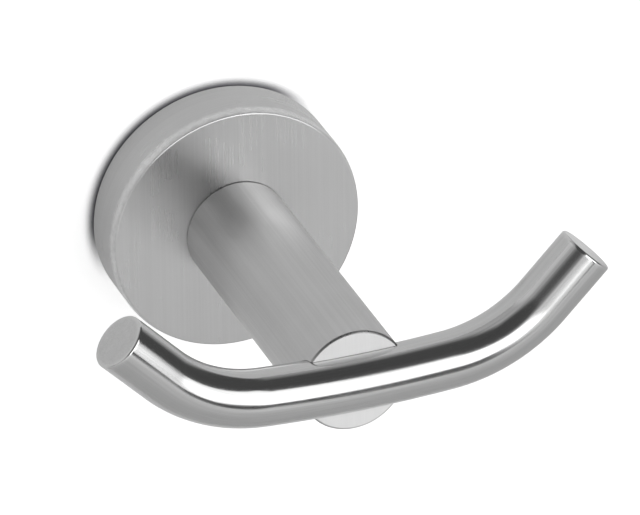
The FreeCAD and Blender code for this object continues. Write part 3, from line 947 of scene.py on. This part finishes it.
bolt = add_rod("socket_bolt", head_sides, head_radius, head_back, head_seat)
edit(bolt, "FACE", far_face)
push((0, 0, 0))
shank_share = bolt_radius / head_radius
bpy.ops.transform.resize(value=(shank_share, 1, shank_share), center_override=(0, -head_seat, 0))
push((0, head_seat - bolt_thread_start - thread_lap, 0))
edit(bolt, "EDGE", lambda end: end.y > -head_back - same_place)
bpy.ops.mesh.bevel(offset=head_break, segments=1, affect="EDGES")
column = 2 * pi / head_sides
edit(bolt, "VERT", lambda point: hypot(point.x, point.z) > head_radius - same_place
     and round(atan2(point.z, point.x) / column) % 2)
bpy.ops.transform.resize(value=(knurl_share, 1, knurl_share), center_override=(0, 0, 0))
bpy.ops.object.mode_set(mode="OBJECT")
rolled = add_thread("rolled_thread", bolt_radius * crest_share, bolt_core, bolt_pitch,
                    bolt_thread_start, bolt_tip)
combine(bolt, rolled, "UNION")
cut_socket(bolt, bolt_socket_flats, head_back - saw_overrun, head_back + bolt_socket_depth)
finish_shading(bolt)

bolt_steel, tree = new_material("bolt_steel")
place, x, y, z, radius = add_turned_place(tree)
to_back = add_math(tree, "SUBTRACT", -head_back, y)
to_side = add_math(tree, "ABSOLUTE", add_math(tree, "SUBTRACT", head_radius, radius))
to_rim = add_math(tree, "ADD", to_back, to_side)
shader = brushed_finish(tree, place, bolt_strokes, to_rim, small_edge_reach,
                        bolt_dark, bolt_light, bolt_worn, bolt_roughness, bolt_relief)
# The roots of the rolled thread are darker.
in_root = add_range(tree, radius, bolt_core, bolt_radius, 1.0, 0.0)
on_thread = add_range(tree, y, -bolt_thread_start, -bolt_thread_start + bolt_pitch, 1.0, 0.0)
cover(tree, shader, add_math(tree, "MULTIPLY", in_root, on_thread), thread_root_dark)
hang(bolt, "clamp_bolt", bolt_steel)

washer_steel, tree = new_material("washer_steel")
place, x, y, z, radius = add_turned_place(tree)
to_rim = add_math(tree, "SUBTRACT", washer_radius, radius)
brushed_finish(tree, place, washer_strokes, to_rim, small_edge_reach,
               washer_dark, washer_light, washer_worn, washer_roughness, washer_relief)
dress("lock_washer", washer_steel)


# Wall plate: a ring of zinc-plated steel, turned, with a lip that the grub screw draws in behind
# and two countersunk holes for the wall screws. The rose hides it.
plate_radius = 0.0249
plate_depth = 0.008
plate_strokes = (2400, 2400, 2400)
plate_drift = 0.02
plate_dark = (0.5, 0.515, 0.54, 1)
plate_light = (0.62, 0.635, 0.66, 1)
plate_worn = (0.72, 0.725, 0.73, 1)
plate_roughness = 0.34
plate_relief = 2.0e-6
plate_edge_reach = 0.0009

plate_zinc, tree = new_material("plate_zinc")
place, x, y, z, radius = add_turned_place(tree)
ringed = tree.nodes.new("ShaderNodeCombineXYZ")
plug(tree, ringed.inputs["X"], radius)
plug(tree, ringed.inputs["Y"], y)
plug(tree, ringed.inputs["Z"], add_math(tree, "MULTIPLY", add_math(tree, "ADD", x, z), plate_drift))
to_side = add_math(tree, "SUBTRACT", plate_radius, radius)
to_front = add_math(tree, "ABSOLUTE", add_math(tree, "ADD", y, plate_depth))
to_edge = add_math(tree, "ADD", to_side, to_front)
brushed_finish(tree, ringed.outputs[0], plate_strokes, to_edge, plate_edge_reach,
               plate_dark, plate_light, plate_worn, plate_roughness, plate_relief)
dress("wall_plate", plate_zinc)


# Grub screw: a stainless set screw with a cone point and a hexagon socket. It stands in the
# underside of the rose, out of sight, and its point bears on the wall plate's bevel.
grub_radius = 0.002
grub_core = 0.0016
grub_pitch = 0.0007
grub_length = 0.004
grub_point = 0.02314
grub_socket_flats = 0.002
grub_socket_depth = 0.0014
grub_strokes = (90, 90, 3400)

grub = add_thread("set_screw", grub_radius * crest_share, grub_core, grub_pitch, 0, grub_length)
sharp = add_rod("sharpened_rod", hole_sides, grub_radius, -saw_overrun, grub_length - grub_radius)
sharpen(sharp, grub_radius)
combine(grub, sharp, "INTERSECT")
cut_socket(grub, grub_socket_flats, -saw_overrun, grub_socket_depth)
pick(grub)
grub.rotation_euler = (-pi / 2, 0, 0)
grub.location = (0, -grub_depth, -grub_point - grub_length)
bpy.ops.object.transform_apply()
finish_shading(grub)

grub_steel, tree = new_material("grub_steel")
place, x, y, z, radius = add_turned_place(tree)
to_end = add_math(tree, "ADD", z, grub_point + grub_length)
brushed_finish(tree, place, grub_strokes, to_end, small_edge_reach,
               bolt_dark, bolt_light, bolt_worn, bolt_roughness, bolt_relief)
hang(grub, "grub_screw", grub_steel)
